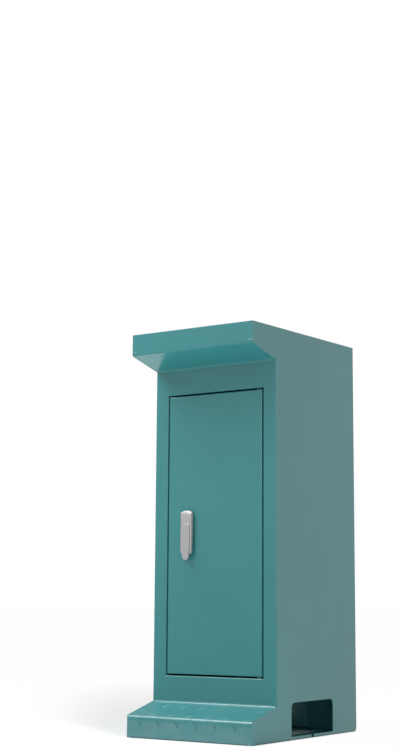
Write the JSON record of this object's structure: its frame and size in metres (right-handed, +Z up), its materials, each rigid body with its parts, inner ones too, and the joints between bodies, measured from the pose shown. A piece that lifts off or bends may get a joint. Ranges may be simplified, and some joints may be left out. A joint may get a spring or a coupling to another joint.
{
  "type": "drill mill stand",
  "caption": "Free-standing sheet steel pedestal for a bench drill mill, with a projecting head, a foot step, base cut-outs and a storage cabinet behind a hinged door with a turning latch.",
  "frame": {"origin": "on the floor, under the middle of the stand's overall box", "axes": "+Z up, front with the door faces -Y, +X to the right of someone facing the door, on the hinge side"},
  "size_m": [0.32, 0.414, 0.86],
  "materials": {
    "teal_paint": "semi-gloss powder coat",
    "silver_diecast": "satin silver on a die casting",
    "bright_steel": "turned bright",
    "plated_steel": "zinc plated",
    "buffer_rubber": "matt"
  },
  "bodies": {
    "stand": {"left_side_panel": "teal_paint", "right_side_panel": "teal_paint", "back_panel": "teal_paint", "back_stiffener": "teal_paint", "head_fascia": "teal_paint", "tread_step": "teal_paint", "front_frame": "teal_paint", "cabinet_floor": "teal_paint", "top_plate": "teal_paint", "front_seat_rail": "teal_paint", "rear_seat_rail": "teal_paint", "door_stop_strip": "teal_paint", "lower_door_buffer": "buffer_rubber", "upper_door_buffer": "buffer_rubber", "lower_hinge_pin": "bright_steel", "upper_hinge_pin": "bright_steel", "lower_hinge_washer": "teal_paint", "upper_hinge_washer": "teal_paint"},
    "door": {"door_panel": "teal_paint", "lower_hinge_plate": "plated_steel", "upper_hinge_plate": "plated_steel", "lower_hinge_bush": "teal_paint", "upper_hinge_bush": "teal_paint", "latch_bush": "silver_diecast", "latch_bush_nut": "plated_steel"},
    "latch": {"latch_yoke": "silver_diecast", "latch_spindle": "bright_steel", "latch_cross_pin": "silver_diecast", "latch_cam": "plated_steel", "cam_washer": "plated_steel", "cam_nut": "plated_steel"},
    "lever": {"latch_lever": "silver_diecast"}
  },
  "joints": [
    {"name": "door_swing", "type": "hinge", "parent": "stand", "child": "door", "pos_m": [0.112, -0.11, 0.129], "axis": [0, 0, 1], "range_deg": [0, 110]},
    {"name": "latch_turn", "type": "hinge", "parent": "door", "child": "latch", "pos_m": [-0.0682, -0.118, 0.449], "axis": [0, 1, 0], "range_deg": [0, 90]},
    {"name": "lever_lift", "type": "hinge", "parent": "latch", "child": "lever", "pos_m": [-0.0682, -0.1265, 0.449], "axis": [-1, 0, 0], "range_deg": [0, 75]}
  ]
}
